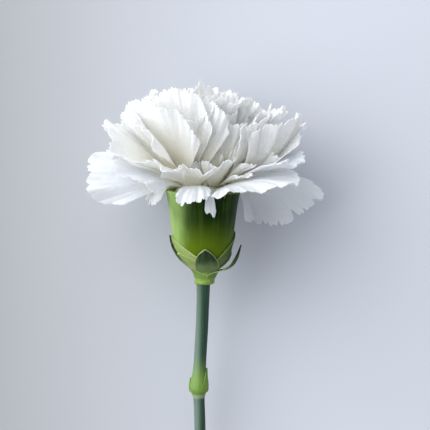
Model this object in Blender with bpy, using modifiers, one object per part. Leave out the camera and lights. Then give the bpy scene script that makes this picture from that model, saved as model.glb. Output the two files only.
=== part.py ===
"""A white cut carnation lying on a table: petals, calyx, epicalyx and stem.

Every piece is modelled upright, in the flower's own frame: +Z runs up its axis, z = 0 is the
calyx mouth, and -Y is the side that looks up once the flower lies down. An empty at the calyx
mouth carries them all and lays them down, with the bloom towards +Y and the table at world z = 0.
Run it with: blender --background --python part.py
"""

import math

import bmesh
import bpy
import numpy as np
from mathutils import Vector

MM = 0.001

# Driving dimensions, in metres.
BLOOM_RADIUS = 0.0365
BLOOM_HEIGHT = 0.0335
BLOOM_SQUARENESS = 2.7
CALYX_LENGTH = 0.0264
CALYX_WALL = 0.0009
COLLAR_LENGTH = 0.0038
COLLAR_FOOT_RADIUS = 0.00275
SOCKET_DEPTH = 0.0018
STEM_RADIUS = 0.00185
STEM_LENGTH = 0.1225
STEM_END_RADIUS = 0.0016
PEG_RADIUS = 0.0014
JOINT_RADIUS = 0.0029
PETAL_THICKNESS = 0.0007
SCALE_THICKNESS = 0.0007
LEAF_SCALE_THICKNESS = 0.0006
GAP = 0.00043
BRACT_GAP = 0.0006

# How it lies: the mouth's height over the table, and where the mouth stands so that the origin
# comes under the middle of the whole flower.
MOUTH_HEIGHT = 0.0255
MOUTH_PLACE = (0.00037, 0.0580)
PRESS_LEAST = -0.0012
PRESS_SOFTNESS = 0.0025
CUT_DEPTH = 0.0002

CALYX_SIDES = 36
COLLAR_SIDES = 20
CORE_SIDES = 24
TEETH_OF_CALYX = 5
NOTCH_DEPTH = 0.0034
NOTCH_WIDTH = 0.0022
NOTCH_TURN = math.radians(-124)

# The stem's swellings, in metres: under the collar and at its joints, each with how far it reaches,
# and how much thinner the stem is below its first joint.
SHOULDER_DEPTH = CALYX_LENGTH + COLLAR_LENGTH + GAP
COLLAR_SWELL = 0.00025
COLLAR_SWELL_REACH = 0.003
JOINT_DEPTHS = (0.0636, 0.1120)
JOINT_REACH_ABOVE = 0.0042
JOINT_REACH_BELOW = 0.0019
THINNING = 0.00022
THINNING_BELOW_JOINT = 0.002
THINNING_REACH = 0.0008

# The rings of the stem's mesh near a joint, as steps from it, and the stem's way sideways as
# (depth below the mouth, x), in mm.
JOINT_RINGS = (-8, -5.5, -4, -2.7, -1.5, 0, 1, 2, 3, 4.2, 6.5)
STEM_SWAY = (
    (28, 0.0),
    (31, 0.1),
    (43, -0.3),
    (55, -1.0),
    (63.6, -1.5),
    (72, -1.1),
    (95, -0.7),
    (112, -1.0),
    (152, 0.2),
)
STEM_SIDES_RESOLUTION = 4
CUT_SLANT = math.radians(40)

# A petal's grid: how far its rays start from the point they would meet in, and how deep the teeth
# of its margin are, in mm.
CLAW = 2.5
TOOTH_DEPTH = 1.5

# The bundle of claws that the petals grow from: (radius, height over the mouth) as turned, in mm.
CORE_TOP = (
    (0.0, 21.0),
    (6.0, 20.2),
    (10.5, 17.5),
    (13.0, 13.5),
    (13.0, 10.0),
    (11.0, 6.5),
    (9.6, 3.2),
    (9.8, 1.0),
)

# Turned outlines, as (radius, depth below the mouth), in mm: the calyx's outside, the floor of its
# inside, and the collar's seat under the calyx with its outside below that.
CALYX_OUTSIDE = (
    (12.0, 0.0),
    (11.5, 2.0),
    (10.95, 5.0),
    (10.4, 9.0),
    (9.9, 13.0),
    (9.45, 16.2),
    (8.9, 18.2),
    (8.2, 20.0),
    (7.2, 21.7),
    (5.7, 23.2),
    (4.2, 24.4),
    (2.9, 25.4),
    (1.5, 26.1),
)
CALYX_FLOOR = ((4.9, 22.7), (3.0, 23.8), (0.0, 24.6))
COLLAR_SEAT = ((0.0, 26.9), (1.8, 26.6), (3.25, 25.85), (4.6, 24.85))
COLLAR_OUTSIDE = ((5.2, 24.95), (4.1, 26.1), (3.6, 27.3), (3.2, 28.6), (2.95, 29.6))
SHEATH_OUTSIDE = CALYX_OUTSIDE[:11] + ((3.1, 26.0), (2.65, 27.3), (2.3, 28.6))

# The widest half of a bract, as an angle round the flower's axis.
WIDEST = math.radians(92)

# How the calyx's foot and the collar lean to the side: (depth below the mouth, x), in mm.
BASE_SWAY = ((18, 0.0), (21, 0.4), (24, 0.9), (26.5, 0.75), (29, 0.5), (32, 0.0))

WHITE = (0.86, 0.86, 0.87, 1.0)
TUBE_GREEN = (0.15, 0.29, 0.05, 1.0)
SCALE_GREEN = (0.10, 0.17, 0.06, 1.0)
STEM_GREEN = (0.07, 0.16, 0.09, 1.0)


# ---------------------------------------------------------------- scene, materials and helpers


def clear_scene():
    for obj in list(bpy.data.objects):
        bpy.data.objects.remove(obj, do_unlink=True)


def new_collection(name):
    collection = bpy.data.collections.new(name)
    bpy.context.scene.collection.children.link(collection)
    return collection


def material(name, colour, roughness):
    made = bpy.data.materials.new(name)
    made.use_nodes = True
    shader = made.node_tree.nodes["Principled BSDF"]
    shader.inputs["Base Color"].default_value = colour
    shader.inputs["Roughness"].default_value = roughness
    shader.inputs["Metallic"].default_value = 0.0
    return made


def add_object(name, mesh, collection, finish=None):
    obj = bpy.data.objects.new(name, mesh)
    collection.objects.link(obj)
    if finish is not None:
        obj.data.materials.append(finish)
    return obj


def applied(obj, name, collection, finish):
    """A new mesh object holding what obj's modifiers make of it. The old object is removed."""
    bpy.context.view_layer.update()
    graph = bpy.context.evaluated_depsgraph_get()
    mesh = bpy.data.meshes.new_from_object(obj.evaluated_get(graph), depsgraph=graph)
    mesh.materials.clear()
    made = add_object(name, mesh, collection, finish)
    made.matrix_world = obj.matrix_world
    bpy.data.objects.remove(obj, do_unlink=True)
    return made


def empty_collection(collection):
    for obj in list(collection.objects):
        bpy.data.objects.remove(obj, do_unlink=True)
    bpy.data.collections.remove(collection)


def turned(name, profile, sides, collection, finish=None):
    """A profile of (radius, z) points at +X, running down the outside, turned round the axis."""
    mesh = bpy.data.meshes.new(name)
    points = [(radius, 0.0, z) for radius, z in profile]
    mesh.from_pydata(points, [(i, i + 1) for i in range(len(points) - 1)], [])
    obj = add_object(name, mesh, collection, finish)
    screw = obj.modifiers.new("turn", "SCREW")
    screw.axis = "Z"
    screw.steps = screw.render_steps = sides
    screw.use_merge_vertices = True
    screw.merge_threshold = 0.00001
    screw.use_smooth_shade = True
    return obj


def keep_largest_shell(obj):
    """Fills the pockets a union leaves sealed between its parts, by dropping their shells."""
    edit = bmesh.new()
    edit.from_mesh(obj.data)
    waiting = set(edit.faces)
    shells = []
    while waiting:
        shell = {waiting.pop()}
        edge_of_shell = set(shell)
        while edge_of_shell:
            near = {face for old in edge_of_shell for edge in old.edges for face in edge.link_faces}
            edge_of_shell = near & waiting
            waiting -= edge_of_shell
            shell |= edge_of_shell
        shells.append(shell)
    largest = max(shells, key=lambda shell: sum(face.calc_area() for face in shell))
    loose = [face for face in edit.faces if face not in largest]
    bmesh.ops.delete(edit, geom=loose, context="FACES")
    edit.to_mesh(obj.data)
    edit.free()


def joined(body, repeats, name, collection, finish, solver="EXACT"):
    """One object: the body and everything in the collection of repeats, joined by one union."""
    union = body.modifiers.new("union", "BOOLEAN")
    union.operation = "UNION"
    union.operand_type = "COLLECTION"
    union.collection = repeats
    union.solver = solver
    made = applied(body, name, collection, finish)
    empty_collection(repeats)
    keep_largest_shell(made)
    return made


def sway_base(obj):
    depths, places = np.array(BASE_SWAY).T * MM
    for vert in obj.data.vertices:
        vert.co.x += float(np.interp(-vert.co.z, depths, places))


def cut_by_plane(obj, point, outward):
    """Takes off what lies beyond a plane and closes the cut."""
    edit = bmesh.new()
    edit.from_mesh(obj.data)
    everything = edit.verts[:] + edit.edges[:] + edit.faces[:]
    bmesh.ops.bisect_plane(
        edit, geom=everything, dist=1e-7, plane_co=point, plane_no=outward, clear_outer=True
    )
    bmesh.ops.remove_doubles(edit, verts=edit.verts, dist=1e-6)
    bmesh.ops.holes_fill(edit, edges=[edge for edge in edit.edges if edge.is_boundary])
    bmesh.ops.triangulate(edit, faces=edit.faces)
    edit.to_mesh(obj.data)
    edit.free()


def sheet(name, surface, columns, rows, thickness, collection):
    """A thin closed blade: a grid over u = -1..1 and t = 0..1, bent by surface(u, t), with a wall.

    The grid is split into triangles before it gets its wall, so both faces are split alike.
    """
    edit = bmesh.new()
    bmesh.ops.create_grid(edit, x_segments=columns, y_segments=rows, size=1.0)
    u = np.array([vert.co.x for vert in edit.verts])
    t = np.array([(vert.co.y + 1) / 2 for vert in edit.verts])
    for vert, place in zip(edit.verts, surface(u, t)):
        vert.co = Vector(place)
    bmesh.ops.triangulate(edit, faces=edit.faces, quad_method="SHORT_EDGE")
    mesh = bpy.data.meshes.new(name)
    edit.to_mesh(mesh)
    edit.free()
    obj = add_object(name, mesh, collection)
    wall = obj.modifiers.new("wall", "SOLIDIFY")
    wall.thickness = thickness
    wall.offset = 0.0
    wall.use_rim = True
    return obj


# ---------------------------------------------------------------- how it lies on the table


def lie_tilt():
    """The axis's slope: the cut end of the stem touches the table, and the bloom holds the mouth up."""
    reach = CALYX_LENGTH + COLLAR_LENGTH + STEM_LENGTH
    return math.asin((MOUTH_HEIGHT - STEM_END_RADIUS) / reach)


def table_height(points):
    """How high points of the flower's frame come over the table, for an array of shape (n, 3)."""
    slope = lie_tilt()
    return MOUTH_HEIGHT + points[:, 2] * math.sin(slope) - points[:, 1] * math.cos(slope)


def pressed(points):
    """Petals that would reach under the table bend up instead, and lie on it."""
    height = table_height(points)
    bent = PRESS_LEAST + PRESS_SOFTNESS * np.logaddexp(0.0, (height - PRESS_LEAST) / PRESS_SOFTNESS)
    slope = lie_tilt()
    up = np.array((0.0, -math.cos(slope), math.sin(slope)))
    return points + (bent - height)[:, None] * up


def lay_down(pieces):
    carrier = bpy.data.objects.new("flower_axis", None)
    bpy.context.scene.collection.objects.link(carrier)
    for piece in pieces:
        piece.parent = carrier
    carrier.rotation_euler = (lie_tilt() - math.pi / 2, 0.0, 0.0)
    carrier.location = (MOUTH_PLACE[0], MOUTH_PLACE[1], MOUTH_HEIGHT - CUT_DEPTH)


def table_cut(obj):
    """A small flat spot where the piece lies on the table."""
    slope = lie_tilt()
    down = Vector((0.0, math.cos(slope), -math.sin(slope)))
    cut_by_plane(obj, down * (MOUTH_HEIGHT - CUT_DEPTH), down)


# ---------------------------------------------------------------- petals


def petal(
    turn, base, lean, length, spread, cup=0, twist=0, roll=0, ruffle=1.2, waves=2.2, corner=0.22, seed=0
):
    """One petal's numbers. Angles are in degrees and lengths in mm.

    turn: azimuth of its midrib (0 is +X, -90 the side that looks up once laid down)
    base: (distance from the axis, height over the mouth) of its root
    lean: (at the root, at the margin) of the midrib from the axis
    spread: half the angle of its fan; cup: how far its sides curl up; roll, twist: its tilt sideways
    ruffle, waves: height and number of its waves; corner: how much its margin rounds off at its sides
    """
    return locals()


def low_petals():
    """The petals that spread flat or hang over the rim, and the two that lie on the table."""
    return [
        petal(20, (8.0, 3.5), (92, 145), 31, 38, -20, -4, -36, waves=2.6, seed=901),
        petal(-176, (8.0, 1.75), (76, 98), 31, 25, -18, -4, -58, ruffle=1.9, waves=1.6, seed=902),
        petal(176, (8.0, 2.35), (80, 185), 15, 32, -25, roll=-14, ruffle=0.8, seed=903),
        petal(-99, (8.8, 1.2), (60, 158), 18.5, 21, -12, 6, 0, ruffle=0.7, seed=904),
        petal(-83, (8.6, 1.2), (62, 205), 18.3, 5, -20, ruffle=0.1, corner=0.1, seed=905),
        petal(-50, (8.4, 1.2), (72, 126), 28, 44, -4, -6, ruffle=1.2, seed=906),
        petal(-20, (8.0, 1.8), (62, 84), 29.5, 30, 30, 10, ruffle=1.5, seed=907),
        petal(66, (8.0, 1.6), (50, 108), 29.5, 40, -20, 5, ruffle=1.0, seed=908),
        petal(112, (8.0, 1.6), (50, 104), 29.5, 40, -15, -5, ruffle=1.0, seed=909),
        petal(-150, (8.0, 1.6), (60, 92), 26, 34, -12, -10, -16, ruffle=1.5, seed=911),
    ]


def front_petals():
    """The standing petals on the side that looks up, each placed for itself."""
    return [
        petal(-10, (7.4, 2.0), (76, 14), 34, 27, 50, 0, -25, ruffle=1.8, seed=912),
        petal(-20, (8.0, 2.0), (62, 68), 21.5, 32, 40, roll=-60, ruffle=1.2, seed=913),
        petal(-56, (8.0, 2.0), (26, 14), 29, 24, 110, 10, ruffle=0.9, seed=914),
        petal(-84, (7.6, 2.0), (12, 18), 25, 17, 80, ruffle=0.8, seed=915),
        petal(-162, (7.5, 2.0), (46, 60), 33, 27, -22, 0, -24, ruffle=1.6, seed=916),
        petal(-136, (7.5, 2.0), (34, 32), 34, 38, -18, ruffle=1.4, seed=917),
        petal(-30, (7.5, 2.0), (44, 46), 22, 12, 60, ruffle=0.6, seed=918),
        petal(-48, (8.0, 2.0), (66, 84), 16, 14, 50, ruffle=0.5, seed=919),
        petal(-42, (8.0, 2.0), (54, 72), 18, 10, 70, roll=-20, ruffle=0.4, seed=932),
        petal(-112, (7.2, 2.0), (24, 14), 34.5, 34, -18, ruffle=1.4, seed=920),
        petal(-96, (6.6, 2.4), (14, 6), 34, 30, 20, 10, ruffle=1.8, seed=921),
        petal(-72, (6.4, 2.4), (18, 4), 33, 32, 30, -12, ruffle=1.8, seed=922),
        petal(-128, (6.6, 2.4), (26, 22), 34, 34, -10, 8, ruffle=1.8, seed=923),
        petal(-148, (6.6, 2.4), (36, 46), 33, 34, -10, -8, -14, ruffle=1.8, seed=924),
        petal(-136, (7.8, 1.8), (50, 82), 24, 36, -10, 10, -10, ruffle=1.6, seed=925),
        petal(-108, (7.8, 1.8), (52, 80), 19, 38, 0, -10, 6, ruffle=1.4, seed=926),
        petal(-68, (7.8, 1.8), (44, 66), 16.5, 30, 70, 10, ruffle=1.1, seed=927),
        petal(6, (7.0, 2.2), (64, 42), 34, 36, 30, 0, 12, ruffle=1.8, seed=928),
        petal(-30, (6.8, 2.2), (46, 38), 23, 24, 100, 20, -10, ruffle=1.8, seed=929),
        petal(-4, (7.2, 2.2), (60, 66), 32, 32, 20, -10, -30, ruffle=1.6, seed=930),
        petal(-100, (7.4, 2.0), (34, 50), 13.5, 16, 140, 30, ruffle=0.8, seed=931),
    ]


def length_to_dome(base, lean):
    """How long a midrib is, in mm, that starts at base, bends by lean and ends on the bloom's dome."""
    angles = np.radians(np.linspace(lean[0], lean[1], 60))
    out, up = np.sin(angles).mean(), np.cos(angles).mean()
    lengths = np.linspace(5, 60, 1100)
    radius = np.abs(base[0] + lengths * out) * MM / BLOOM_RADIUS
    height = np.maximum(base[1] + lengths * up, 0) * MM / BLOOM_HEIGHT
    return lengths[radius**BLOOM_SQUARENESS + height**BLOOM_SQUARENESS < 1].max()


def ring_of_petals(count, start, arc, base, lean, spread, cup, ruffle, seed):
    """Petals along an arc round the axis, each folded its own way, their tips on the bloom's dome."""
    draw = np.random.default_rng(seed)
    petals = []
    for i in range(count):
        way = draw.uniform(-1, 1, 10)
        its_lean = (lean[0] + 4 * way[1], lean[1] + 12 * way[2])
        petals.append(
            petal(
                start + arc / count * (i + 0.25 * way[0]),
                base,
                its_lean,
                length_to_dome(base, its_lean) * (0.98 + 0.08 * way[7]),
                spread * (1 + 0.15 * way[3]),
                cup * (1 + 0.45 * way[4]),
                32 * way[5],
                26 * way[8],
                ruffle=ruffle * (1 + 0.3 * way[6]),
                waves=2.4 + 0.7 * way[9],
                seed=100 * seed + i,
            )
        )
    return petals


def inner_petals():
    """Two arcs round the side that looks down, and whole rings within."""
    return (
        ring_of_petals(4, 30, 180, (7.0, 2.2), (30, 66), 34, 40, 1.6, 2)
        + ring_of_petals(3, 0, 200, (6.0, 2.4), (20, 48), 33, 60, 1.8, 3)
        + ring_of_petals(5, 8, 360, (5.0, 2.6), (14, 34), 30, 75, 1.9, 4)
        + ring_of_petals(4, 28, 360, (3.8, 2.8), (10, 20), 28, 85, 2.0, 5)
        + ring_of_petals(3, 10, 360, (2.2, 3.0), (4, 10), 26, 95, 2.1, 6)
    )


def petal_surface(numbers, columns):
    """surface(u, t) of a petal: a fan whose rays run up its midrib, bent, cupped, waved and tilted.

    Every second column of its grid is drawn back, which cuts its margin into teeth.
    """
    draw = np.random.default_rng(numbers["seed"])
    phase = draw.uniform(0, 2 * math.pi, 8)
    rate = draw.uniform(0.7, 1.3, 8)
    spread = math.radians(numbers["spread"])
    length = numbers["length"]
    turn = math.radians(numbers["turn"])

    def midrib(way):
        """Radius, height and lean at a share of the midrib's length, which is an arc."""
        start, end = (math.radians(angle) for angle in numbers["lean"])
        lean = start + (end - start) * way
        bend = (end - start) / length
        radius = numbers["base"][0] - (np.cos(lean) - math.cos(start)) / bend
        height = numbers["base"][1] + (np.sin(lean) - math.sin(start)) / bend
        return radius, height, lean

    def surface(u, t):
        lobes = 0.035 * np.sin(2.6 * u * rate[0] + phase[0])
        lobes = lobes + 0.028 * np.sin(6.3 * u * rate[1] + phase[1])
        margin = length * (1 - numbers["corner"] * np.abs(u) ** 4 + lobes)
        margin = margin - TOOTH_DEPTH * (np.round((u + 1) * columns / 2) % 2)
        along_ray = CLAW + t * (margin - CLAW)
        angle = u * spread * (0.7 + 0.3 * np.sin(math.pi / 2 * t))
        across = along_ray * np.sin(angle)
        up = along_ray * np.cos(angle) - CLAW
        radius, height, lean = midrib(up / length)
        curl = math.radians(numbers["cup"]) / (length * math.sin(spread)) + 1e-6
        side = np.sin(curl * across) / curl
        lift = (1 - np.cos(curl * across)) / curl
        wave = 0.62 * np.sin(math.pi * numbers["waves"] * u * rate[4] + phase[4])
        lift = lift + numbers["ruffle"] * t**2.5 * wave
        tilt = np.radians(numbers["twist"]) * up / length + math.radians(numbers["roll"])
        sideways = side * np.cos(tilt) - lift * np.sin(tilt)
        inwards = side * np.sin(tilt) + lift * np.cos(tilt)
        radius = radius - inwards * np.cos(lean)
        height = height + inwards * np.sin(lean)
        x = radius * math.cos(turn) - sideways * math.sin(turn)
        y = radius * math.sin(turn) + sideways * math.cos(turn)
        points = np.stack([x, y, height], axis=1) * MM
        return pressed(points)

    return surface


def build_petals(collection, finish):
    """Every petal, joined to the bundle of their claws that fills the calyx."""
    blades = new_collection("petal_blades")
    for i, numbers in enumerate(low_petals()):
        columns = 8 if numbers["spread"] > 10 else 4
        sheet(f"low_{i}", petal_surface(numbers, columns), columns, 4, PETAL_THICKNESS, blades)
    for i, numbers in enumerate(front_petals() + inner_petals()):
        columns = 6 if numbers["spread"] > 16 else 4
        sheet(f"standing_{i}", petal_surface(numbers, columns), columns, 3, PETAL_THICKNESS, blades)
    inside = [(radius, z) for radius, z in calyx_inside(GAP) if z < -1.0 * MM]
    profile = [(radius * MM, z * MM) for radius, z in CORE_TOP] + inside
    core = turned("claws", profile, CORE_SIDES, collection)
    core = applied(core, "claws", collection, finish)
    return joined(core, blades, "petals", collection, finish, solver="MANIFOLD")


# ---------------------------------------------------------------- calyx


def calyx_outside():
    return [(radius * MM, -depth * MM) for radius, depth in CALYX_OUTSIDE]


def calyx_inside(inset=0.0):
    """The tube's inside, from the mouth down to the axis, set in by a gap for what it holds."""
    lowest = CALYX_WALL + 3 * inset - CALYX_FLOOR[0][1] * MM
    side = [(radius - CALYX_WALL - inset, z) for radius, z in calyx_outside() if z > lowest]
    floor = [(max(radius * MM - inset, 0.0), inset - depth * MM) for radius, depth in CALYX_FLOOR]
    return side + floor


def build_calyx(collection, finish):
    """The green tube: a turned cup with notches between its five teeth."""
    outside = calyx_outside() + [(0.0, -CALYX_LENGTH)]
    inside = calyx_inside()
    profile = inside[::-1][:-1] + [inside[0]] + outside
    cup = turned("calyx_cup", profile, CALYX_SIDES, collection)
    cup = applied(cup, "calyx_cup", collection, finish)
    cutters = new_collection("calyx_cutters")
    mouth = outside[0][0]
    for i in range(TEETH_OF_CALYX):
        turn = NOTCH_TURN + 2 * math.pi * i / TEETH_OF_CALYX
        edit = bmesh.new()
        bmesh.ops.create_cone(
            edit,
            cap_ends=True,
            segments=3,
            radius1=NOTCH_DEPTH,
            radius2=NOTCH_DEPTH,
            depth=4 * CALYX_WALL + 2 * MM,
        )
        narrow = math.cos(math.radians(30)) * NOTCH_WIDTH / NOTCH_DEPTH
        for vert in edit.verts:
            vert.co = Vector((vert.co.z, -vert.co.x * narrow, -vert.co.y))
        mesh = bpy.data.meshes.new("notch")
        edit.to_mesh(mesh)
        edit.free()
        notch = add_object(f"notch_{i}", mesh, cutters)
        notch.location = (mouth * math.cos(turn), mouth * math.sin(turn), 0.0)
        notch.rotation_euler = (0.0, 0.0, turn)
    cut = cup.modifiers.new("notches", "BOOLEAN")
    cut.operation = "DIFFERENCE"
    cut.operand_type = "COLLECTION"
    cut.collection = cutters
    made = applied(cup, "calyx", collection, finish)
    empty_collection(cutters)
    return made


# ---------------------------------------------------------------- epicalyx


def scale_surface(turn, profile, foot, tip, width, off):
    """surface(u, t) of a scale that grows up a turned body. Lengths are in mm.

    profile is the body's outline. foot and tip are the depths where the scale begins and ends.
    width(t, far) is half its width and off(t) its distance from the body.
    """
    radius, depth = np.array(profile[::-1]).T
    run = np.concatenate([[0], np.cumsum(np.hypot(np.diff(radius), np.diff(depth)))])
    start, end = np.interp((-foot, -tip), -depth, run)
    ways = np.linspace(0, run[-1], 400)
    radius, z = np.interp(ways, run, radius), np.interp(ways, run, -depth)
    even = np.ones(41) / 41
    outward = [np.gradient(z), -np.gradient(radius)]
    outward = np.stack([np.convolve(np.pad(part, 20, "edge"), even, "valid") for part in outward])
    outward = outward / np.hypot(*outward)

    def surface(u, t):
        way = start + (end - start) * t
        far = np.interp(way, ways, radius) + off(t) * np.interp(way, ways, outward[0])
        high = np.interp(way, ways, z) + off(t) * np.interp(way, ways, outward[1])
        angle = turn + u * np.minimum(width(t, far) / np.maximum(far, 0.5), WIDEST)
        return np.stack([far * np.cos(angle), far * np.sin(angle), high], axis=1) * MM

    return surface


def broad_bract(turn, tip, half_width, fullness, off):
    """A bract that wraps round the calyx, widest at its foot."""

    def width(t, far):
        return half_width * np.clip(1 - t**fullness, 0, 1) ** 1.15 + 0.15

    def distance(t):
        return off + 0 * t

    return scale_surface(math.radians(turn), CALYX_OUTSIDE, 25.0, tip, width, distance)


def outer_bract(turn, tip, flare, off):
    """A narrow bract whose foot widens into half of the sheath. It stands away by its flare."""

    def width(t, far):
        narrow = 1.9 * np.clip(1 - t**3, 0, 1) ** 0.8 + 0.15
        return narrow + far * math.pi / 2 * np.exp(-t / 0.09)

    def distance(t):
        return off + flare * (1 - np.exp(-np.clip(t - 0.3, 0, 1) / 0.18))

    return scale_surface(math.radians(turn), SHEATH_OUTSIDE, 27.4, tip, width, distance)


def build_epicalyx(collection, finish):
    """The collar over the stem, with three pairs of bracts: wide, keeled and outer ones."""
    near = BRACT_GAP / MM + SCALE_THICKNESS / MM / 2
    blades = new_collection("bract_blades")
    wide = [broad_bract(188, 14.2, 10.5, 4, near), broad_bract(12, 13.4, 10.0, 4, near)]
    keeled = [broad_bract(-86, 17.8, 3.7, 6, near + 0.4), broad_bract(94, 17.0, 4.2, 6, near + 0.4)]
    outer = [outer_bract(190, 14.0, 0.15, near + 0.35), outer_bract(-8, 16.6, 2.7, near + 0.35)]
    pairs = (("wide", wide, 12, 6), ("keeled", keeled, 6, 5), ("outer", outer, 8, 7))
    for name, pair, columns, rows in pairs:
        for i, surface in enumerate(pair):
            sheet(f"{name}_bract_{i}", surface, columns, rows, SCALE_THICKNESS, blades)
    foot = -CALYX_LENGTH - COLLAR_LENGTH
    socket = PEG_RADIUS + GAP
    socket_top = foot + SOCKET_DEPTH
    profile = [(radius * MM, -depth * MM) for radius, depth in COLLAR_SEAT + COLLAR_OUTSIDE]
    profile += [(COLLAR_FOOT_RADIUS, foot), (socket, foot), (socket, socket_top), (0.0, socket_top)]
    collar = turned("collar", profile, COLLAR_SIDES, collection)
    collar = applied(collar, "collar", collection, finish)
    return joined(collar, blades, "epicalyx", collection, finish)


# ---------------------------------------------------------------- stem


def stem_x(z):
    depths = [depth * MM for depth, _ in STEM_SWAY]
    places = [x * MM for _, x in STEM_SWAY]
    return np.interp(-np.asarray(z), depths, places)


def stem_radius(z):
    """A peg in the collar's socket, then the stalk, swollen at its joints, thinner below the first."""
    z = np.asarray(z, float)
    depth = -z
    under_collar = COLLAR_SWELL * np.exp(-np.clip(depth - SHOULDER_DEPTH, 0, None) / COLLAR_SWELL_REACH)
    past_joint = depth - JOINT_DEPTHS[0] - THINNING_BELOW_JOINT
    radius = STEM_RADIUS + under_collar - THINNING / (1 + np.exp(-past_joint / THINNING_REACH))
    for joint in JOINT_DEPTHS:
        reach = np.where(depth <= joint, JOINT_REACH_ABOVE, JOINT_REACH_BELOW)
        radius = radius + (JOINT_RADIUS - STEM_RADIUS) * np.exp(-(((depth - joint) / reach) ** 2))
    return np.where(depth < SHOULDER_DEPTH, PEG_RADIUS, radius)


def stem_depths():
    """Where the stem's rings are: far apart along it, close together at each joint."""
    top = CALYX_LENGTH + COLLAR_LENGTH - SOCKET_DEPTH + GAP
    end = CALYX_LENGTH + COLLAR_LENGTH + STEM_LENGTH + 2 * STEM_RADIUS
    depths = {round(depth, 5) for depth in np.linspace(top, end, 16)}
    for joint in JOINT_DEPTHS:
        depths = {depth for depth in depths if abs(depth - joint) > 0.009}
        depths |= {round(joint + step * MM, 5) for step in JOINT_RINGS}
    depths = {depth for depth in depths if abs(depth - SHOULDER_DEPTH) > 0.001}
    return sorted(depths | {top, SHOULDER_DEPTH - 0.00005, SHOULDER_DEPTH + 0.00005})


def leaf_scale(joint, turn, length):
    """A short pointed scale that clasps the stem at a joint, its tip standing a little away."""
    depths = np.linspace(joint - 8, joint + 1, 30)
    outside = [(float(stem_radius(-depth * MM)) / MM, depth) for depth in depths]

    def width(t, far):
        return 2.6 * np.clip(1.02 - t**2.2, 0.03, 1) ** 0.75 * (0.8 + 0.2 * np.sin(math.pi * t))

    def distance(t):
        return 1.5 * np.clip(t - 0.25, 0, 1) ** 2 - 0.05

    upright = scale_surface(math.radians(turn), outside, joint + 0.5, joint + 0.5 - length, width, distance)

    def surface(u, t):
        points = upright(u, t)
        points[:, 0] += stem_x(points[:, 2])
        return points

    return surface


def build_stem(collection, finish):
    """The stem with its swollen joints, a pair of leaf scales at each, and a slanting cut end."""
    line = bpy.data.curves.new("stem_line", "CURVE")
    line.dimensions = "3D"
    line.bevel_depth = 1.0
    line.bevel_resolution = STEM_SIDES_RESOLUTION
    line.use_fill_caps = True
    spline = line.splines.new("POLY")
    depths = stem_depths()
    spline.points.add(len(depths) - 1)
    for point, depth in zip(spline.points, depths):
        point.co = (float(stem_x(-depth)), 0.0, -depth, 1.0)
        point.radius = float(stem_radius(-depth))
    tube = bpy.data.objects.new("stem_tube", line)
    collection.objects.link(tube)
    stalk = applied(tube, "stalk", collection, finish)
    edit = bmesh.new()
    edit.from_mesh(stalk.data)
    bmesh.ops.remove_doubles(edit, verts=edit.verts, dist=1e-6)
    bmesh.ops.recalc_face_normals(edit, faces=edit.faces)
    edit.to_mesh(stalk.data)
    edit.free()
    end = -(CALYX_LENGTH + COLLAR_LENGTH + STEM_LENGTH)
    slant = Vector((0.0, -math.sin(CUT_SLANT), -math.cos(CUT_SLANT)))
    cut_by_plane(stalk, Vector((0.0, STEM_RADIUS, end)), slant)
    scales = new_collection("leaf_scales")
    for i, joint in enumerate(JOINT_DEPTHS):
        for side, length in ((0, 5.4), (1, 4.0)):
            surface = leaf_scale(joint / MM, -8 + 180 * side + 90 * i, length)
            sheet(f"leaf_scale_{i}_{side}", surface, 4, 5, LEAF_SCALE_THICKNESS, scales)
    return joined(stalk, scales, "stem", collection, finish)


# ---------------------------------------------------------------- the flower


def build():
    clear_scene()
    flower = new_collection("cut_carnation")
    white = material("petal_white", WHITE, 0.6)
    tube_green = material("calyx_green", TUBE_GREEN, 0.45)
    scale_green = material("bract_green", SCALE_GREEN, 0.5)
    stem_green = material("stem_green", STEM_GREEN, 0.5)
    petals = build_petals(flower, white)
    calyx = build_calyx(flower, tube_green)
    epicalyx = build_epicalyx(flower, scale_green)
    stem = build_stem(flower, stem_green)
    for piece in (petals, calyx, epicalyx, stem):
        sway_base(piece)
    table_cut(petals)
    table_cut(stem)
    lay_down([petals, calyx, epicalyx, stem])


build()
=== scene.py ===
"""A white cut carnation lying on a table, dressed for its portrait.

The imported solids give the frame: one body, "root", with petals, calyx, epicalyx and stem. Each
piece here is modelled upright, in the flower's own frame, and laid down at the end: +Z runs up
its axis, z = 0 is the calyx mouth and -Y is the side that looks up.
"""

import math

import bpy
import numpy as np
from mathutils import Matrix, Vector


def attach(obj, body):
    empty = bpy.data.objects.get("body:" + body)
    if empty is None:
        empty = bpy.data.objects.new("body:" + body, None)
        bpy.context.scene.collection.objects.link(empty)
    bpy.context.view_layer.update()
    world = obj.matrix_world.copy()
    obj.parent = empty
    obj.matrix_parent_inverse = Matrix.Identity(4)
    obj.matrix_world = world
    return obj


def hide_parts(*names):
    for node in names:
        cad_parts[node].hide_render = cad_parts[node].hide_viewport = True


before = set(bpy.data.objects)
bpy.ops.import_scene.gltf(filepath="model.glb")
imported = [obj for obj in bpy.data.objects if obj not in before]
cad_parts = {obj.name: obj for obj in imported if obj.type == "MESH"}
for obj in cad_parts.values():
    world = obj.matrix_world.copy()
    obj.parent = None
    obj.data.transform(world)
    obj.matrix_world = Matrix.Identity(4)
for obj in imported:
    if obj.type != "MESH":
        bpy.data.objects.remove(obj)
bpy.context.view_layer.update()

MM = 0.001

# ---------------------------------------------------------------- the flower's sizes, in mm

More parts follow.
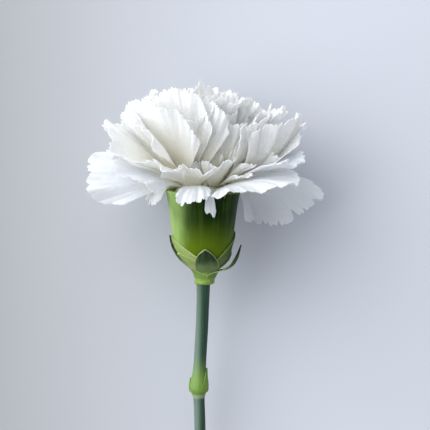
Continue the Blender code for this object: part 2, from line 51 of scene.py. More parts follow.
BLOOM_RADIUS = 36.5
BLOOM_HEIGHT = 33.5
BLOOM_SQUARENESS = 2.7
PETAL_WALL = 0.22
CALYX_LENGTH = 26.4
CALYX_WALL = 0.9
CALYX_CUP_DEPTH = 20.0
CALYX_LIP_HEIGHT = 0.25
CALYX_TEETH = 5
NOTCH_TURN = math.radians(-124)
NOTCH_DEPTH = 3.4
NOTCH_WIDTH = 2.2
BRACT_WALL = 0.35
BROAD_BRACT_FOOT = 25.6
OUTER_BRACT_FOOT = 27.6
COLLAR_LENGTH = 3.8
STEM_RADIUS = 2.0
STEM_LENGTH = 122.5
STEM_END_RADIUS = 1.6
JOINT_RADIUS = 2.9
JOINT_DEPTHS = (63.6, 112.0)
LEAF_SCALE_WALL = 0.3
LEAF_SCALE_LENGTHS = (8.2, 4.6)
CUT_SLANT = math.radians(40)
CUT_SPAN = 3.7

# The stem's swellings: how much thicker it is under the collar, how far each swelling reaches, and
# how much thinner the stem is below its first joint.
SHOULDER_DEPTH = 30.0
COLLAR_SWELL = 0.25
COLLAR_SWELL_REACH = 3.0
JOINT_REACH_ABOVE = 4.2
JOINT_REACH_BELOW = 1.9
THINNING = 0.22
THINNING_BELOW_JOINT = 2.0
THINNING_REACH = 0.8

# How it lies: the mouth's height over the table and its place, how far the flower then settles, how
# low and how softly the table bends a petal, and the air left under what lies on it.
MOUTH_HEIGHT = 25.5
MOUTH_PLACE = (0.37, 58.0)
SETTLED = 0.2
PRESS_LEAST = -1.2
PRESS_SOFTNESS = 2.5
CLEARANCE = 0.01

FLOWER_LENGTH = CALYX_LENGTH + COLLAR_LENGTH + STEM_LENGTH
SLOPE = math.asin((MOUTH_HEIGHT - STEM_END_RADIUS) / FLOWER_LENGTH)
LIE_TURN = SLOPE - math.pi / 2
LIE_PLACE = Vector((MOUTH_PLACE[0], MOUTH_PLACE[1], MOUTH_HEIGHT - SETTLED)) * MM
LIE_DOWN = Matrix.Translation(LIE_PLACE) @ Matrix.Rotation(LIE_TURN, 4, "X")

# Turned outlines, as (radius, depth below the mouth). The sheath is where the outer bracts join, and
# the claws are the petals' narrow feet.
CALYX_OUTSIDE = (
    (12.0, 0.0),
    (11.5, 2.0),
    (10.95, 5.0),
    (10.4, 9.0),
    (9.9, 13.0),
    (9.45, 16.2),
    (8.9, 18.2),
    (8.2, 20.0),
    (7.2, 21.7),
    (5.7, 23.2),
    (4.2, 24.4),
    (2.9, 25.4),
    (1.5, 26.1),
)
SHEATH_OUTSIDE = CALYX_OUTSIDE[:11] + ((3.1, 26.0), (2.65, 27.3), (2.3, 28.6))
COLLAR_OUTSIDE = (
    (1.6, 26.2),
    (3.0, 25.4),
    (3.8, 25.8),
    (3.6, 26.8),
    (3.3, 27.8),
    (3.1, 28.8),
    (3.25, 29.4),
    (3.1, 29.9),
    (2.3, 30.2),
    (1.2, 30.1),
)
CLAWS_OUTSIDE = (
    (0.01, 6.0),
    (8.8, 6.0),
    (9.6, 2.0),
    (9.2, 0.4),
    (8.4, -0.6),
    (7.2, -1.3),
    (4.0, -1.9),
    (0.01, -2.2),
)

# How far the flower's axis runs to the side, as (depth below the mouth, x).
STEM_SWAY = (
    (28, 0.0),
    (31, 0.1),
    (43, -0.3),
    (55, -1.0),
    (63.6, -1.5),
    (72, -1.1),
    (95, -0.7),
    (112, -1.0),
    (152, 0.2),
)
BASE_SWAY = ((18, 0.0), (21, 0.4), (24, 0.9), (26.5, 0.75), (29, 0.5), (32, 0.0))

# How fine the meshes are: columns per mm of a petal's margin, rows up a blade, sides of turned forms.
PETAL_COLUMNS_PER_MM = 4
LEAST_PETAL_COLUMNS = 24
PETAL_ROWS = 20
BRACT_GRID = (60, 60)
LEAF_SCALE_GRID = (20, 24)
CLAW_SIDES = 156
CALYX_SIDES = 160
COLLAR_SIDES = 96
STEM_SIDES = 40


# ---------------------------------------------------------------- shader maths


class Wire:
    """A shader socket that takes part in Python expressions."""

    def __init__(self, finish, socket):
        self.finish = finish
        self.socket = socket

    def maths(self, operation, *values):
        return self.finish.node("ShaderNodeMath", {"operation": operation}, dict(enumerate(values)))

    def __add__(self, other):
        return self.maths("ADD", self, other)

    def __sub__(self, other):
        return self.maths("SUBTRACT", self, other)

    def __rsub__(self, other):
        return self.maths("SUBTRACT", other, self)

    def __mul__(self, other):
        return self.maths("MULTIPLY", self, other)

    def __pow__(self, other):
        return self.maths("POWER", self, other)

    __radd__ = __add__
    __rmul__ = __mul__

    def size(self):
        return self.maths("ABSOLUTE", self)

    def over(self, low, high):
        """0 below low and 1 above high, with a smooth step between. low may be the higher one."""
        return self.finish.node(
            "ShaderNodeMapRange",
            {"interpolation_type": "SMOOTHSTEP"},
            {"Value": self, "From Min": low, "From Max": high},
        )


class Finish:
    """One material, built node by node round its Principled shader."""

    def __init__(self, name, roughness, **constants):
        self.material = bpy.data.materials.new(name)
        self.material.use_nodes = True
        self.tree = self.material.node_tree
        self.shader = self.tree.nodes["Principled BSDF"]
        self.shader.inputs["Roughness"].default_value = roughness
        for socket, value in constants.items():
            self.shader.inputs[socket.replace("_", " ")].default_value = value
        coordinates = self.tree.nodes.new("ShaderNodeTexCoord")
        self.uv = Wire(self, coordinates.outputs["UV"])
        self.place = Wire(self, coordinates.outputs["Object"])

    def node(self, kind, settings, values, output=0):
        made = self.tree.nodes.new(kind)
        for name, value in settings.items():
            setattr(made, name, value)
        for name, value in values.items():
            if isinstance(value, Wire):
                self.tree.links.new(value.socket, made.inputs[name])
            else:
                made.inputs[name].default_value = value
        return Wire(self, made.outputs[output])

    def parts(self, vector):
        split = self.tree.nodes.new("ShaderNodeSeparateXYZ")
        self.tree.links.new(vector.socket, split.inputs[0])
        return [Wire(self, output) for output in split.outputs]

    def joined(self, x, y, z):
        return self.node("ShaderNodeCombineXYZ", {}, {0: x, 1: y, 2: z})

    def flower_place(self):
        """Object coordinates turned back into the flower's own frame, in mm."""
        upright = self.node(
            "ShaderNodeMapping",
            {"vector_type": "TEXTURE"},
            {
                "Vector": self.place,
                "Location": LIE_PLACE,
                "Rotation": (LIE_TURN, 0, 0),
                "Scale": (MM, MM, MM),
            },
        )
        return self.parts(upright)

    def around(self, x, y):
        """The angle round the flower's axis."""
        return self.node("ShaderNodeMath", {"operation": "ARCTAN2"}, {0: y, 1: x})

    def noise(self, vector, scale, detail=2.0):
        return self.node("ShaderNodeTexNoise", {}, {"Vector": vector, "Scale": scale, "Detail": detail})

    def blend(self, factor, first, second):
        first = (*first, 1.0) if isinstance(first, tuple) else first
        second = (*second, 1.0) if isinstance(second, tuple) else second
        return self.node("ShaderNodeMix", {"data_type": "RGBA"}, {0: factor, 6: first, 7: second}, output=2)

    def colour(self, wire):
        self.tree.links.new(wire.socket, self.shader.inputs["Base Color"])

    def bump(self, height, distance, strength=1.0):
        sockets = {"Height": height, "Distance": distance, "Strength": strength}
        self.bumped = self.node("ShaderNodeBump", {}, sockets)
        self.tree.links.new(self.bumped.socket, self.shader.inputs["Normal"])

    def lets_light_through(self, share, colour):
        """Mixes in a share of light from behind, as a thin blade shows it. The bump comes first."""
        glow = self.node("ShaderNodeBsdfTranslucent", {}, {"Color": (*colour, 1.0), "Normal": self.bumped})
        front = Wire(self, self.shader.outputs[0])
        both = self.node("ShaderNodeMixShader", {}, {0: share, 1: front, 2: glow})
        self.tree.links.new(both.socket, self.tree.nodes["Material Output"].inputs["Surface"])


# ---------------------------------------------------------------- modelling helpers


def select_only(*pieces):
    bpy.ops.object.select_all(action="DESELECT")
    for piece in pieces:
        piece.select_set(True)
    bpy.context.view_layer.objects.active = pieces[0]


def points_of(piece):
    points = np.empty(len(piece.data.vertices) * 3)
    piece.data.vertices.foreach_get("co", points)
    return points.reshape(-1, 3)


def move_points(piece, points):
    piece.data.vertices.foreach_set("co", np.ascontiguousarray(points, dtype=np.float64).ravel())
    piece.data.update()


def apply_modifier(piece, kind, **settings):
    modifier = piece.modifiers.new(kind.lower(), kind)
    for name, value in settings.items():
        setattr(modifier, name, value)
    select_only(piece)
    bpy.ops.object.modifier_apply(modifier=modifier.name)


def blade(name, surface, columns, rows, wall):
    """A grid bent by surface(u, t), u = -1..1 across and t = 0..1 up, in mm, with a thin wall."""
    bpy.ops.object.select_all(action="DESELECT")
    bpy.ops.mesh.primitive_grid_add(x_subdivisions=columns, y_subdivisions=rows, size=2)
    piece = bpy.context.object
    piece.name = name
    flat = points_of(piece)
    move_points(piece, surface(flat[:, 0], (flat[:, 1] + 1) / 2) * MM)
    apply_modifier(piece, "SOLIDIFY", thickness=wall * MM, offset=0.0, use_rim=True)
    return piece


def lathed(name, profile, sides, centre=lambda z: 0.0):
    """A turned form, in mm: a circle drawn out and resized down a profile of (radius, z) points."""
    radius, z = profile[0]
    bpy.ops.object.select_all(action="DESELECT")
    bpy.ops.mesh.primitive_circle_add(
        vertices=sides, radius=radius * MM, location=(centre(z) * MM, 0, z * MM), fill_type="NGON"
    )
    piece = bpy.context.object
    piece.name = name
    bpy.ops.object.transform_apply(location=True, rotation=True, scale=True)
    bpy.ops.object.mode_set(mode="EDIT")
    bpy.ops.mesh.select_all(action="SELECT")
    for (old_radius, old_z), (radius, z) in zip(profile, profile[1:]):
        step = ((centre(z) - centre(old_z)) * MM, 0, (z - old_z) * MM)
        bpy.ops.mesh.extrude_region_move(TRANSFORM_OT_translate={"value": step})
        scale = radius / old_radius
        bpy.ops.transform.resize(value=(scale, scale, 1), center_override=(centre(z) * MM, 0, z * MM))
    bpy.ops.mesh.select_all(action="SELECT")
    bpy.ops.mesh.normals_make_consistent(inside=False)
    bpy.ops.object.mode_set(mode="OBJECT")
    return piece


def smooth_profile(points, steps):
    """A denser profile through (radius, depth) points, as (radius, z) pairs from the top down."""
    radius, depth = np.array(points, float).T
    run = np.concatenate([[0], np.cumsum(np.hypot(np.diff(radius), np.diff(depth)))])
    ways = np.linspace(0, run[-1], steps)
    soft = []
    for values in (radius, depth):
        even = np.pad(np.interp(ways, run, values), 2, "reflect", reflect_type="odd")
        soft.append(np.convolve(even, (0.1, 0.2, 0.4, 0.2, 0.1), "valid"))
    return [(float(r), float(-d)) for r, d in zip(*soft)]


def joined(name, pieces):
    select_only(*pieces)
    bpy.ops.object.join()
    piece = bpy.context.object
    piece.name = name
    return piece


def dress(piece, finish, slot, nodes, smooth=60):
    """Lays a finished piece down with the flower, gives it its finish, attaches it to the root body and hides
    the imported nodes it stands in for.
    """
    piece.data.transform(LIE_DOWN)
    piece.data.update()
    select_only(piece)
    bpy.ops.object.shade_smooth_by_angle(angle=math.radians(smooth))
    piece.data.materials.clear()
    piece.data.materials.append(finish.material)
    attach(piece, "root")
    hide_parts(*nodes)


# ---------------------------------------------------------------- petals


def petal(
    turn,
    base,
    lean,
    length,
    spread,
    cup=0,
    twist=0,
    roll=0,
    ruffle=1.2,
    waves=2.2,
    notch=1.8,
    tooth=1.3,
    bite=1.0,
    corner=0.22,
    skew=0,
    seed=0,
):
    """One petal's numbers. Angles are in degrees and lengths in mm.

    turn: azimuth of its midrib (0 is +X, -90 the side that looks up once laid down)
    base: (distance from the axis, height over the mouth) of its root
    lean: (at the root, at the margin) of the midrib from the axis
    spread: half the angle of its fan; cup: how far its sides curl up; roll and twist: its tilt sideways
    ruffle, waves: height and number of its waves; tooth, bite: width and depth of its teeth
    notch, corner: depth of its few deep cuts, how much its margin rounds off at the sides
    skew: how much shorter it is at one side
    """
    return locals()


# The guard and front petals are placed one by one: turn, base, lean, length, spread, cup, twist and
# roll come first, and then what is a petal's own.


def low_guards():
    """The lowest petals, which hang beside the calyx, stand out from its mouth or lie on the table."""
    return [
        petal(
            20, (8.0, 3.5), (92, 150), 33, 38, -20, -4, -36,
            notch=3.4, tooth=2.4, waves=2.6, ruffle=1.9, seed=901,
        ),
        petal(
            -176, (8.0, 1.75), (76, 98), 31, 25, -18, -4, -58,
            ruffle=1.9, waves=1.4, notch=1.6, tooth=2.2, bite=0.3, skew=0.04, seed=902,
        ),
        petal(
            176, (8.0, 2.35), (80, 185), 15.5, 42, -25,
            roll=-14, ruffle=0.6, tooth=3.0, notch=0.8, corner=0.1, seed=903,
        ),
        petal(-99, (8.8, 1.2), (60, 158), 18.5, 23, -12, 6, 0, ruffle=0.9, notch=1.0, tooth=1.6, seed=904),
        petal(
            -83, (8.6, 1.2), (62, 205), 18.3, 6, -20,
            ruffle=0.1, corner=0.05, notch=0.0, bite=0.25, seed=905,
        ),
        petal(
            -50, (8.4, 1.2), (70, 106), 28, 44, -4, -6, 14,
            ruffle=1.2, notch=0.7, bite=0.4, skew=-0.08, seed=906,
        ),
        petal(-20, (8.0, 1.8), (62, 84), 29.5, 30, 30, 10, ruffle=1.5, seed=907),
        petal(66, (8.0, 1.6), (50, 108), 29.5, 40, -20, 5, ruffle=1.0, seed=908),
        petal(112, (8.0, 1.6), (50, 104), 29.5, 40, -15, -5, ruffle=1.0, seed=909),
        petal(-150, (8.0, 1.6), (60, 92), 26, 34, -12, -10, -16, ruffle=1.5, seed=911),
    ]


def high_guards():
    """The petals over those, on the bloom's right and left sides, with small ones between them."""
    return [
        petal(-14, (7.4, 2.0), (76, 12), 35.5, 34, 60, 0, -14, ruffle=1.3, bite=0.6, seed=912),
        petal(-20, (8.0, 2.0), (62, 68), 21.5, 32, 40, roll=-60, ruffle=1.2, seed=913),
        petal(-56, (8.0, 2.0), (26, 14), 29, 24, 110, 10, ruffle=0.9, seed=914),
        petal(-84, (7.6, 2.0), (12, 18), 25, 17, 80, ruffle=0.8, seed=915),
        petal(-162, (7.5, 2.0), (46, 60), 33, 27, -22, 0, -24, ruffle=1.6, seed=916),
        petal(-136, (7.5, 2.0), (34, 32), 34, 38, 6, ruffle=1.4, seed=917),
        petal(-30, (7.5, 2.0), (44, 46), 22, 12, 60, ruffle=0.6, seed=918),
        petal(-48, (8.0, 2.0), (66, 84), 16, 14, 50, ruffle=0.5, seed=919),
        petal(-42, (8.0, 2.0), (54, 72), 18, 10, 70, roll=-20, ruffle=0.4, seed=932),
        petal(-112, (7.2, 2.0), (24, 14), 34.5, 34, 12, ruffle=1.4, seed=920),
        petal(-96, (6.6, 2.4), (14, 6), 31.8, 30, 20, 10, ruffle=1.8, seed=921),
    ]


def front_petals():
    """The petals that fill the bloom's upper side and its right one, and the tall one near its axis."""
    return [
        petal(-72, (6.4, 2.4), (18, 4), 31.5, 32, 30, -12, ruffle=1.8, seed=922),
        petal(-128, (6.6, 2.4), (26, 22), 34, 34, 12, 8, ruffle=1.8, seed=923),
        petal(-148, (6.6, 2.4), (36, 46), 33, 34, -10, -8, -14, ruffle=1.8, seed=924),
        petal(-136, (7.8, 1.8), (50, 82), 24, 36, -10, 10, -10, ruffle=1.6, tooth=2.0, seed=925),
        petal(-108, (7.8, 1.8), (52, 80), 19, 38, 0, -10, 6, ruffle=1.4, tooth=2.0, seed=926),
        petal(-68, (7.8, 1.8), (44, 66), 16.5, 30, 70, 10, ruffle=1.1, tooth=2.0, seed=927),
        petal(10, (7.0, 2.2), (64, 42), 33, 36, 30, 0, 12, ruffle=1.3, bite=0.5, seed=928),
        petal(-30, (6.8, 2.2), (46, 38), 23, 24, 100, 20, -10, ruffle=1.8, seed=929),
        petal(4, (7.2, 2.2), (60, 60), 31, 32, 20, -10, -30, ruffle=1.4, bite=0.7, seed=930),
        petal(-100, (7.4, 2.0), (34, 50), 13.5, 16, 140, 30, ruffle=0.8, seed=931),
        petal(2, (6.0, 2.4), (44, 36), 33, 30, 40, 0, 0, ruffle=1.8, seed=933),
        petal(-90, (6.4, 2.2), (18, 10), 19, 36, 20, 8, ruffle=1.2, seed=934),
        petal(-74, (3.4, 3.0), (4, 6), 32.8, 22, 24, 4, ruffle=1.0, tooth=1.8, corner=0.25, seed=937),
        petal(-26, (7.0, 2.2), (54, 14), 31, 28, 40, 0, 0, ruffle=1.3, seed=938),
        petal(-74, (6.8, 2.2), (30, 24), 15, 30, 60, -16, ruffle=1.2, seed=935),
        petal(-40, (6.4, 2.2), (40, 30), 26, 26, 50, 0, -16, ruffle=1.4, tooth=1.8, seed=936),
    ]


def length_to_dome(base, lean):
    """How long a midrib is that starts at base, bends evenly by lean and ends on the bloom's dome."""
    angles = np.radians(np.linspace(lean[0], lean[1], 60))
    out, up = np.sin(angles).mean(), np.cos(angles).mean()
    lengths = np.linspace(5, 60, 1100)
    radius = np.abs(base[0] + lengths * out) / BLOOM_RADIUS
    height = np.maximum(base[1] + lengths * up, 0) / BLOOM_HEIGHT
    return lengths[radius**BLOOM_SQUARENESS + height**BLOOM_SQUARENESS < 1].max()


def ring_of_petals(count, start, arc, base, lean, spread, cup, ruffle, seed):
    """Petals along an arc round the axis, each folded and turned its own way, with tips on the dome."""
    draw = np.random.default_rng(seed)
    petals = []
    for i in range(count):
        way = draw.uniform(-1, 1, 10)
        its_lean = (lean[0] + 4 * way[1], lean[1] + 12 * way[2])
        petals.append(
            petal(
                start + arc / count * (i + 0.25 * way[0]),
                base,
                its_lean,
                length_to_dome(base, its_lean) * (0.955 + 0.06 * way[7]),
                spread * (1 + 0.15 * way[3]),
                cup * (1 + 0.45 * way[4]),
                32 * way[5],
                26 * way[8],
                ruffle=ruffle * (1 + 0.3 * way[6]),
                waves=2.4 + 0.7 * way[9],
                seed=100 * seed + i,
            )
        )
    return petals


CLAW = 2.5  # how far the fan's rays start from the point they would meet in
UPWARDS = np.array((0.0, -math.cos(SLOPE), math.sin(SLOPE)))  # away from the table, in the flower's frame


def table_height(points):
    return MOUTH_HEIGHT + points @ UPWARDS


def pressed(points):
    """Petals that would reach under the table bend up instead, and lie on it."""
    height = table_height(points)
    bent = PRESS_LEAST + PRESS_SOFTNESS * np.logaddexp(0.0, (height - PRESS_LEAST) / PRESS_SOFTNESS)
    bent = np.maximum(bent, SETTLED + PETAL_WALL / 2 + CLEARANCE)
    return points + (bent - height)[:, None] * UPWARDS


def petal_surface(numbers, teeth):
    """surface(u, t) of a petal: a fan whose rays run up its midrib, bent, cupped, waved and tilted."""
    draw = np.random.default_rng(numbers["seed"])
    phase = draw.uniform(0, 2 * math.pi, 8)
    rate = draw.uniform(0.7, 1.3, 8)
    spread = math.radians(numbers["spread"])
    length = numbers["length"]
    turn = math.radians(numbers["turn"])

    def midrib(way):
        """Radius, height and lean at a share of the midrib's length, which is an arc."""
        start, end = (math.radians(angle) for angle in numbers["lean"])
        lean = start + (end - start) * way
        bend = (end - start) / length
        radius = numbers["base"][0] - (np.cos(lean) - math.cos(start)) / bend
        height = numbers["base"][1] + (np.sin(lean) - math.sin(start)) / bend
        return radius, height, lean

    def margin(u):
        """How far out the margin is: slow lobes, a saw of uneven teeth and a few deeper cuts."""
        lobes = 0.035 * np.sin(2.6 * u * rate[0] + phase[0]) + 0.028 * np.sin(6.3 * u * rate[1] + phase[1])
        edge = length * (1 - numbers["corner"] * np.abs(u) ** 4 - numbers["skew"] * u + lobes)
        tooth = (u + 1) / 2 * teeth + 0.6 * np.sin(4 * u + phase[2]) + 0.3 * np.sin(11 * u + phase[5])
        depth = 1.2 * numbers["bite"] * numbers["tooth"] ** 0.4
        depth = depth * (0.7 + 0.5 * np.sin(23 * u * rate[2] + phase[3]))
        edge = edge - depth * (np.abs(tooth % 1 - 0.5) * 2) ** (1.2 + 0.4 * numbers["tooth"])
        cut = (u + 1) / 2 * 4.5 + 0.4 * np.sin(3 * u + phase[6])
        return edge - numbers["notch"] * (np.abs(cut % 1 - 0.5) * 2) ** 6

    def waved(u, t):
        """How far the blade rises and falls: its ruffles, a finer frill at the margin, creases and pleats."""
        wave = 0.62 * np.sin(math.pi * numbers["waves"] * u * rate[4] + phase[4])
        wave = wave + 0.38 * np.sin(math.pi * 5 * u * rate[5] + phase[5])
        frill = np.sin(math.pi * 10 * u * rate[6] + phase[6] + 4 * t) * np.sin(7 * u * rate[2] + phase[1])
        frill = 0.34 / numbers["tooth"] * np.clip((t - 0.45) / 0.55, 0, 1) ** 1.5 * frill
        crumple = np.sin(6 * u * rate[3] + 8 * t + phase[2]) * np.sin(5 * u + 6 * t * rate[0] + phase[0])
        pleat = 0.035 * t * np.sin(math.pi * 17 * u * rate[7] + phase[7]) * np.sin(9 * u * rate[1] + phase[3])
        return numbers["ruffle"] * (t**2.5 * wave + frill + 0.16 * t * crumple) + pleat

    def surface(u, t):
        along_ray = CLAW + t * (margin(u) - CLAW)
        angle = u * spread * (0.7 + 0.3 * np.sin(math.pi / 2 * t))
        across = along_ray * np.sin(angle)
        up = along_ray * np.cos(angle) - CLAW
        radius, height, lean = midrib(up / length)
        curl = math.radians(numbers["cup"]) / (length * math.sin(spread)) + 1e-6
        side = np.sin(curl * across) / curl
        lift = (1 - np.cos(curl * across)) / curl + waved(u, t)
        tilt = np.radians(numbers["twist"]) * up / length + math.radians(numbers["roll"])
        side, lift = side * np.cos(tilt) - lift * np.sin(tilt), side * np.sin(tilt) + lift * np.cos(tilt)
        radius = radius - lift * np.cos(lean)
        height = height + lift * np.sin(lean)
        x = radius * math.cos(turn) - side * math.sin(turn)
        y = radius * math.sin(turn) + side * math.cos(turn)
        return pressed(np.stack([x, y, height], axis=1))

    return surface


def layer(name, petals):
    """One piece of several petals."""
    blades = []
    for i, numbers in enumerate(petals):
        margin_length = 2 * math.radians(numbers["spread"]) * numbers["length"]
        teeth = max(3, round(margin_length / numbers["tooth"]))
        surface = petal_surface(numbers, teeth)
        columns = max(LEAST_PETAL_COLUMNS, round(margin_length * PETAL_COLUMNS_PER_MM))
        blades.append(blade(f"{name}_{i}", surface, columns, PETAL_ROWS, PETAL_WALL))
    return joined(name, blades)


def petal_finish(name, white, cream_reach):
    """White, cream towards the claw, with faint veins and a silky surface that lets light through."""
    finish = Finish(name, 0.6, IOR=1.38)
    across, up, _ = finish.parts(finish.uv)
    cream = up.over(cream_reach, 0.1)
    fan = finish.joined(across * 46, up * 2.5, 0)
    veins = finish.noise(fan, 1.0, detail=2)
    colour = finish.blend(cream, white, (0.98, 0.95, 0.79))
    colour = finish.blend(veins.over(0.52, 0.72) * 0.2, colour, (0.82, 0.83, 0.83))
    colour = finish.blend(up.over(0.1, 0.0) * 0.8, colour, (0.62, 0.62, 0.28))
    crinkles = finish.noise(finish.place, 550, detail=3)
    finish.colour(colour)
    finish.bump(veins * 0.5 + crinkles, 0.0007, 0.6)
    finish.lets_light_through(0.48 + cream * 0.1 - veins.over(0.5, 0.75) * 0.14, (0.99, 0.99, 0.975))
    return finish


def outer_petals():
    low = ring_of_petals(4, 30, 180, (7.0, 2.2), (30, 66), spread=34, cup=40, ruffle=1.6, seed=2)
    high = ring_of_petals(4, 0, 200, (6.0, 2.4), (20, 48), spread=33, cup=60, ruffle=1.8, seed=3)
    return low + high


def middle_petals():
    low = ring_of_petals(8, 8, 360, (5.0, 2.6), (14, 34), spread=30, cup=75, ruffle=1.9, seed=4)
    high = ring_of_petals(8, 28, 360, (3.8, 2.8), (10, 20), spread=28, cup=85, ruffle=2.0, seed=5)
    return low + high


def heart_petals():
    return ring_of_petals(7, 10, 360, (2.2, 3.0), (4, 10), spread=26, cup=95, ruffle=2.1, seed=6)


def make_petals():
    # Painted shade: the low guard petals get a darker, bluer copy of the petal white, to hold down their
    # brightness where the key light falls on them.
    cool = petal_finish("petal_white", (0.84, 0.87, 0.92), 0.55)
    warm = petal_finish("petal_cream", (0.97, 0.98, 0.995), 1.0)
    dress(layer("guard_petals_low", low_guards()), cool, "petals", ["petals"])
    dress(layer("guard_petals_high", high_guards()), warm, "petals", ["petals"])
    dress(layer("front_petals", front_petals()), warm, "petals", ["petals"])
    dress(layer("outer_petals", outer_petals()), warm, "petals", ["petals"])
    dress(layer("middle_petals", middle_petals()), warm, "petals", ["petals"])
    dress(layer("heart_petals", heart_petals()), warm, "petals", ["petals"])
    make_claws()


CLAW_COUNT = 26
CLAW_GROOVE = 0.5
CLAW_GROOVES_FROM = 5  # the distance from the axis at which the grooves between claws begin


def make_claws():
    """The petals' narrow feet, packed side by side in the calyx's mouth."""
    claws = lathed("petal_claws", smooth_profile(CLAWS_OUTSIDE, 30), CLAW_SIDES)
    points = points_of(claws)
    angle = np.arctan2(points[:, 1], points[:, 0])
    away = np.hypot(points[:, 0], points[:, 1]) / MM
    depth = CLAW_GROOVE * np.clip(away - CLAW_GROOVES_FROM, 0, 1)
    shrink = 1 + depth * (np.abs(np.sin(CLAW_COUNT / 2 * angle)) - 1) / np.maximum(away, 1)
    points[:, :2] *= shrink[:, None]
    move_points(claws, points)
    dress(claws, claw_finish(), "petals", ["petals"])


def claw_finish():
    """Pale cream, greener towards the calyx, with fine streaks up each claw."""
    finish = Finish("claw_cream", 0.6)
    x, y, z = finish.flower_place()
    streaks = finish.noise(finish.joined(finish.around(x, y) * 20, z * 0.1, 0), 1.0, detail=2)
    cream = finish.blend(z.over(3, -2), (0.85, 0.84, 0.68), (0.50, 0.56, 0.30))
    finish.colour(finish.blend(streaks.over(0.4, 0.7) * 0.3, cream, (0.93, 0.92, 0.82)))
    finish.bump(streaks, 0.0002, 0.4)
    return finish


# ---------------------------------------------------------------- calyx


def sway_base(piece):
    """Moves the calyx's foot and the collar sideways, as the flower's axis runs."""
    points = points_of(piece)
    depths, places = np.array(BASE_SWAY).T
    points[:, 0] += np.interp(-points[:, 2] / MM, depths, places) * MM
    move_points(piece, points)


def notch_cutter(turn):
    """A wedge that cuts one notch between two teeth, at a turn round the mouth."""
    bpy.ops.object.select_all(action="DESELECT")
    bpy.ops.mesh.primitive_cylinder_add(vertices=3, radius=NOTCH_DEPTH * MM, depth=5 * MM)
    cutter = bpy.context.object
    corners = points_of(cutter)
    narrow = math.cos(math.radians(30)) * NOTCH_WIDTH / NOTCH_DEPTH
    move_points(cutter, np.stack([corners[:, 2], -corners[:, 0] * narrow, -corners[:, 1]], axis=1))
    at_the_rim = Matrix.Translation((CALYX_OUTSIDE[0][0] * MM, 0, 0))
    cutter.data.transform(Matrix.Rotation(turn, 4, "Z") @ at_the_rim)
    return cutter


def make_calyx():
    """The tube, open to a cup's depth inside, with a rounded lip that is notched into teeth."""
    outside = smooth_profile(CALYX_OUTSIDE, 44)
    inside = [(radius - CALYX_WALL, z) for radius, z in outside if z > -CALYX_CUP_DEPTH]
    lip = []
    for share in (0.25, 0.5, 0.75):
        lip.append((outside[0][0] - CALYX_WALL * share, CALYX_LIP_HEIGHT * math.sin(math.pi * share)))
    floor = (0.01, inside[-1][1] - 0.5)
    profile = [floor] + inside[::-1] + lip[::-1] + outside + [(0.01, -CALYX_LENGTH)]
    tube = lathed("calyx_tube", profile, CALYX_SIDES)
    turns = [NOTCH_TURN + 2 * math.pi * i / CALYX_TEETH for i in range(CALYX_TEETH)]
    cutter = joined("notch_cutter", [notch_cutter(turn) for turn in turns])
    apply_modifier(tube, "BOOLEAN", operation="DIFFERENCE", object=cutter, solver="EXACT")
    bpy.data.objects.remove(cutter, do_unlink=True)
    sway_base(tube)
    dress(tube, calyx_finish(), "calyx", ["calyx"], smooth=40)


def calyx_finish():
    """Waxy green with fine ribs: paler and yellower towards its foot, with pale edges at the notches, and a
    painted highlight that makes its left, lit side pale.
    """
    finish = Finish(
        "calyx_green",
        0.42,
        Specular_IOR_Level=0.08,
        Subsurface_Weight=0.1,
        Subsurface_Radius=(0.6, 1.0, 0.2),
        Subsurface_Scale=0.001,
    )
    x, y, z = finish.flower_place()
    angle = finish.around(x, y)
    ribs = finish.noise(finish.joined(angle * 24, z * 0.05, 0), 1.0, detail=3)
    broad = finish.noise(finish.joined(angle * 2.5, z * 0.12, 5), 1.0, detail=1)
    green = finish.blend(broad.over(0.35, 0.65), (0.004, 0.016, 0.0006), (0.012, 0.036, 0.001))
    green = finish.blend(z.over(-7, -19) * 0.7, green, (0.13, 0.21, 0.004))
    # Painted highlight: the calyx's left side, which faces the key light, is painted pale and whitish.
    green = finish.blend((x + broad * 4).over(-1.5, -9) * 0.9, green, (0.34, 0.52, 0.16))
    green = finish.blend(ribs.over(0.4, 0.75) * 0.2, green, (0.12, 0.20, 0.03))
    lip = z.over(-0.9, -0.1)
    finish.colour(finish.blend(lip * 0.4, green, (0.42, 0.48, 0.22)))
    finish.bump(ribs, 0.0003, 0.4)
    return finish


# ---------------------------------------------------------------- epicalyx


def along(profile, depth):
    """How far up a turned outline, from its lowest point, it comes to a depth."""
    radius, depths = np.array(profile[::-1], float).T
    run = np.concatenate([[0], np.cumsum(np.hypot(np.diff(radius), np.diff(depths)))])
    return float(np.interp(-depth, -depths, run))


WIDEST = math.radians(92)  # no scale reaches further round to each side than this


def scale_surface(turn, profile, foot, tip, width, off):
    """surface(u, t) of a scale that grows up a turned body, in mm.

    profile is the body's outline. foot and tip are the depths where the scale begins and ends.
    width(t, far) is half its width and off(u, t) its distance from the body.
    """
    radius, depth = np.array(profile[::-1], float).T
    run = np.concatenate([[0], np.cumsum(np.hypot(np.diff(radius), np.diff(depth)))])
    ways = np.linspace(0, run[-1], 400)
    radius, z = np.interp(ways, run, radius), np.interp(ways, run, -depth)
    outward = [np.gradient(z), -np.gradient(radius)]
    outward = np.stack([np.convolve(np.pad(part, 20, "edge"), np.ones(41) / 41, "valid") for part in outward])
    outward = outward / np.hypot(*outward)
    start, end = along(profile, foot), along(profile, tip)

    def surface(u, t):
        way = start + (end - start) * t
        away = off(u, t)
        far = np.interp(way, ways, radius) + away * np.interp(way, ways, outward[0])
        high = np.interp(way, ways, z) + away * np.interp(way, ways, outward[1])
        angle = turn + u * np.minimum(width(t, far) / np.maximum(far, 0.5), WIDEST)
        return np.stack([far * np.cos(angle), far * np.sin(angle), high], axis=1)

    return surface


